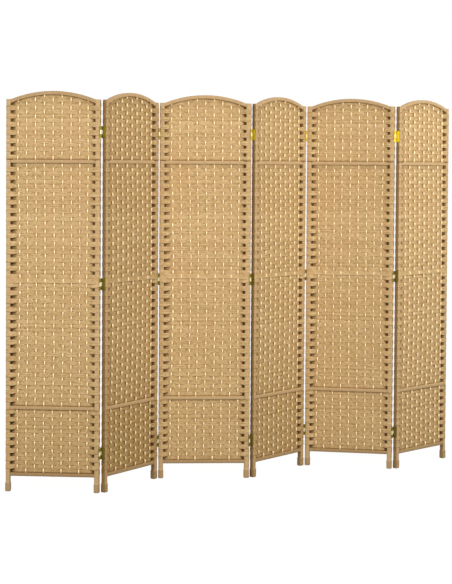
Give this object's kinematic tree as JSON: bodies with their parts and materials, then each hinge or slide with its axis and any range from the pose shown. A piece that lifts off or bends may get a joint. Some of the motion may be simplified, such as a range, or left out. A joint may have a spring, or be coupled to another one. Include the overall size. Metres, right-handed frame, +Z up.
{
  "type": "folding room divider",
  "caption": "Folding screen of arched wooden panels wound and woven with paper cord, standing in a zig-zag on two-way brass hinges.",
  "frame": {"origin": "middle of the zig-zag's footprint, on the floor", "axes": "+X along the row of panels, from the first panel's free edge to the sixth's; +Y from the front to the back; +Z up"},
  "size_m": [2.1911, 0.3046, 1.7],
  "materials": {
    "core_wood": "plain",
    "cord_winding": "wound cord",
    "warp_cord": "twisted cord",
    "weft_cord": "twisted cord",
    "brass": "satin"
  },
  "bodies": {
    "panel_1": {"panel_1_stiles": "core_wood", "panel_1_rails": "core_wood", "panel_1_stile_windings": "cord_winding", "panel_1_rail_windings": "cord_winding", "panel_1_warps": "warp_cord", "panel_1_weft": "weft_cord", "panel_1_hinge_leaves": "brass", "panel_1_hinge_screws": "brass", "hinge_links_1_2": "brass", "hinge_pins_1_2": "brass"},
    "panel_2": {"panel_2_stiles": "core_wood", "panel_2_rails": "core_wood", "panel_2_stile_windings": "cord_winding", "panel_2_rail_windings": "cord_winding", "panel_2_warps": "warp_cord", "panel_2_weft": "weft_cord", "panel_2_hinge_leaves": "brass", "panel_2_hinge_screws": "brass"},
    "panel_3": {"panel_3_stiles": "core_wood", "panel_3_rails": "core_wood", "panel_3_stile_windings": "cord_winding", "panel_3_rail_windings": "cord_winding", "panel_3_warps": "warp_cord", "panel_3_weft": "weft_cord", "panel_3_hinge_leaves": "brass", "panel_3_hinge_screws": "brass", "hinge_links_2_3": "brass", "hinge_pins_2_3": "brass", "hinge_links_3_4": "brass", "hinge_pins_3_4": "brass"},
    "panel_4": {"panel_4_stiles": "core_wood", "panel_4_rails": "core_wood", "panel_4_stile_windings": "cord_winding", "panel_4_rail_windings": "cord_winding", "panel_4_warps": "warp_cord", "panel_4_weft": "weft_cord", "panel_4_hinge_leaves": "brass", "panel_4_hinge_screws": "brass"},
    "panel_5": {"panel_5_stiles": "core_wood", "panel_5_rails": "core_wood", "panel_5_stile_windings": "cord_winding", "panel_5_rail_windings": "cord_winding", "panel_5_warps": "warp_cord", "panel_5_weft": "weft_cord", "panel_5_hinge_leaves": "brass", "panel_5_hinge_screws": "brass", "hinge_links_4_5": "brass", "hinge_pins_4_5": "brass", "hinge_links_5_6": "brass", "hinge_pins_5_6": "brass"},
    "panel_6": {"panel_6_stiles": "core_wood", "panel_6_rails": "core_wood", "panel_6_stile_windings": "cord_winding", "panel_6_rail_windings": "cord_winding", "panel_6_warps": "warp_cord", "panel_6_weft": "weft_cord", "panel_6_hinge_leaves": "brass", "panel_6_hinge_screws": "brass"}
  },
  "joints": [
    {"name": "fold_3_4", "type": "hinge", "parent": "panel_3", "child": "panel_4", "pos_m": [0.00701, -0.04503, 0.886], "axis": [0, 0, 1], "range_deg": [-50.1, 129.9]},
    {"name": "fold_4_5", "type": "hinge", "parent": "panel_4", "child": "panel_5", "pos_m": [0.37567, 0.12923, 0.886], "axis": [0, 0, -1], "range_deg": [-65.4, 114.6]},
    {"name": "fold_5_6", "type": "hinge", "parent": "panel_5", "child": "panel_6", "pos_m": [0.71738, -0.09327, 0.886], "axis": [0, 0, 1], "range_deg": [-60.7, 119.3]},
    {"name": "fold_2_3", "type": "hinge", "parent": "panel_3", "child": "panel_2", "pos_m": [-0.3813, 0.07942, 0.886], "axis": [0, 0, 1], "range_deg": [-55.3, 124.7]},
    {"name": "fold_1_2", "type": "hinge", "parent": "panel_2", "child": "panel_1", "pos_m": [-0.73264, -0.12754, 0.886], "axis": [0, 0, -1], "range_deg": [-63.5, 116.5]}
  ]
}
